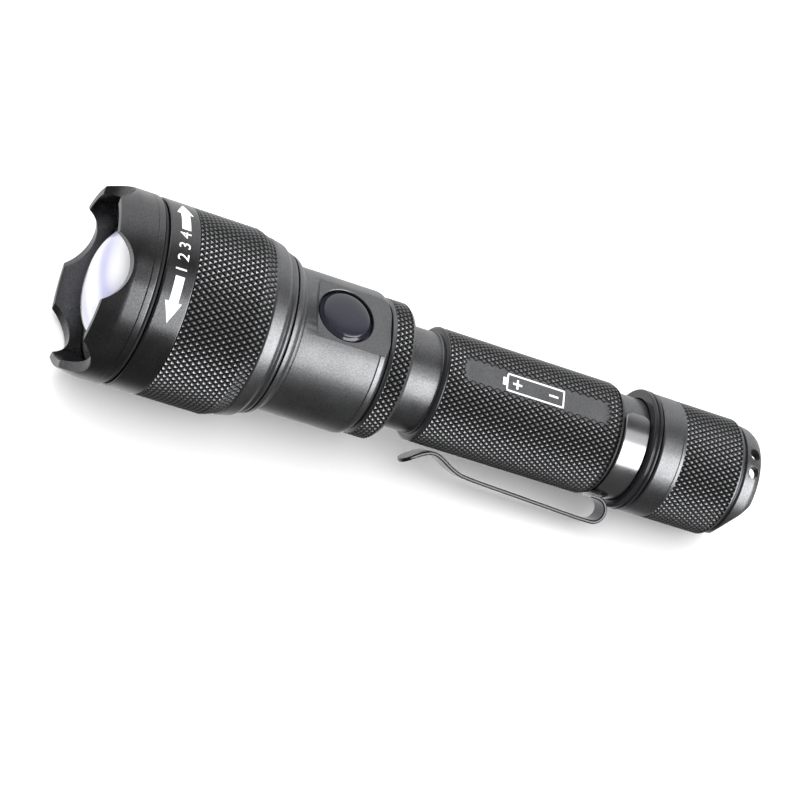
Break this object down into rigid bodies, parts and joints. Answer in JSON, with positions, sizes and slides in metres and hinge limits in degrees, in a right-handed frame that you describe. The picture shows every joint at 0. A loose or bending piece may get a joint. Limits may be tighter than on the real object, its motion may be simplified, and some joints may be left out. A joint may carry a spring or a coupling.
{
  "type": "tactical flashlight",
  "caption": "Twist-focus tactical flashlight with a scalloped bezel, domed lens, knurled grip, side switch, spring pocket clip and screwed tail cap with lanyard ears.",
  "frame": {"origin": "centre of the tail cap's flat end face, on the optical axis, at the floor of the shroud", "axes": "+X along the optical axis from lens to tail, +Z along the outward normal of the side switch"},
  "size_m": [0.1562, 0.0406, 0.0406],
  "materials": {
    "head_metal": "dark grey anodised, turned",
    "body_metal": "gunmetal anodised, turned",
    "grip_metal": "gunmetal anodised, diamond knurled",
    "bare_metal": "bare machined",
    "steel": "polished spring steel",
    "black_ring": "black gloss",
    "lens_glass": "clear moulded glass",
    "rubber": "black nitrile",
    "button_gloss": "black gloss",
    "black_plastic": "matte",
    "pale_plastic": "matte",
    "circuit_board": "solder mask",
    "lamp_board": "white coated metal core board",
    "lamp_package": "phosphor",
    "contact_brass": "gold plated",
    "cell_wrap": "blue shrink wrap over a metal can",
    "red_sleeve": "silicone wire sleeve"
  },
  "bodies": {
    "housing": {"switch_housing": "body_metal", "heat_sink_pill": "bare_metal", "led_board": "lamp_board", "led_package": "lamp_package", "led_dome": "lens_glass", "wire_positive": "red_sleeve", "wire_negative": "black_plastic", "switch_carrier": "pale_plastic", "switch_board": "circuit_board", "tactile_switch": "black_plastic", "button_seal": "rubber", "driver_board": "circuit_board", "driver_spring": "contact_brass", "housing_oring": "rubber", "lock_ring": "grip_metal", "battery_tube": "grip_metal", "battery_cell": "cell_wrap", "battery_positive_cap": "steel", "tail_oring": "rubber", "tail_flange_ring": "black_ring"},
    "focus_carriage": {"focus_oring": "rubber"},
    "head": {"bezel": "head_metal", "head_sleeve": "head_metal", "lens": "lens_glass", "lens_retaining_ring": "black_ring", "lens_gasket": "rubber", "bezel_oring": "rubber", "cam_pin_1": "steel", "cam_pin_2": "steel", "cam_pin_3": "steel"},
    "button": {"button_cap": "button_gloss", "button_plunger": "black_plastic", "switch_stem": "black_plastic"},
    "clip": {"clip_band": "steel"},
    "clip_spring": {"clip_arm": "steel"},
    "tail_carriage": {"tail_spring": "contact_brass"},
    "tail": {"tail_cap": "body_metal", "tail_board": "circuit_board", "tail_retaining_ring": "contact_brass"}
  },
  "joints": [
    {"name": "focus_travel", "type": "slide", "parent": "housing", "child": "focus_carriage", "axis": [-1, 0, 0], "range_m": [0, 0.0075]},
    {"name": "focus_twist", "type": "hinge", "parent": "focus_carriage", "child": "head", "pos_m": [-0.13, 0, 0], "axis": [-1, 0, 0], "range_deg": [0, 270]},
    {"name": "button_press", "type": "slide", "parent": "housing", "child": "button", "axis": [0, 0, -1], "range_m": [0, 0.0008], "stiffness_N_per_m": 3000, "springref_m": -0.0003},
    {"name": "clip_turn", "type": "hinge", "parent": "housing", "child": "clip", "pos_m": [-0.02755, 0, 0], "axis": [1, 0, 0], "continuous": true},
    {"name": "clip_flex", "type": "hinge", "parent": "clip", "child": "clip_spring", "pos_m": [-0.025, -0.01186, -0.0091], "axis": [0, -0.6088, 0.7934], "range_deg": [0, 4.5], "stiffness_Nm_per_rad": 6, "springref_deg": -0.57},
    {"name": "tail_travel", "type": "slide", "parent": "housing", "child": "tail_carriage", "axis": [1, 0, 0], "range_m": [0, 0.0075]},
    {"name": "tail_screw", "type": "hinge", "parent": "tail_carriage", "child": "tail", "pos_m": [0, 0, 0], "axis": [1, 0, 0], "range_deg": [0, 1800]}
  ],
  "couplings": [
    {"joint": "focus_travel", "follows": "focus_twist", "m_per_rad": 0.0015915},
    {"joint": "tail_travel", "follows": "tail_screw", "m_per_rad": 0.00023873}
  ]
}
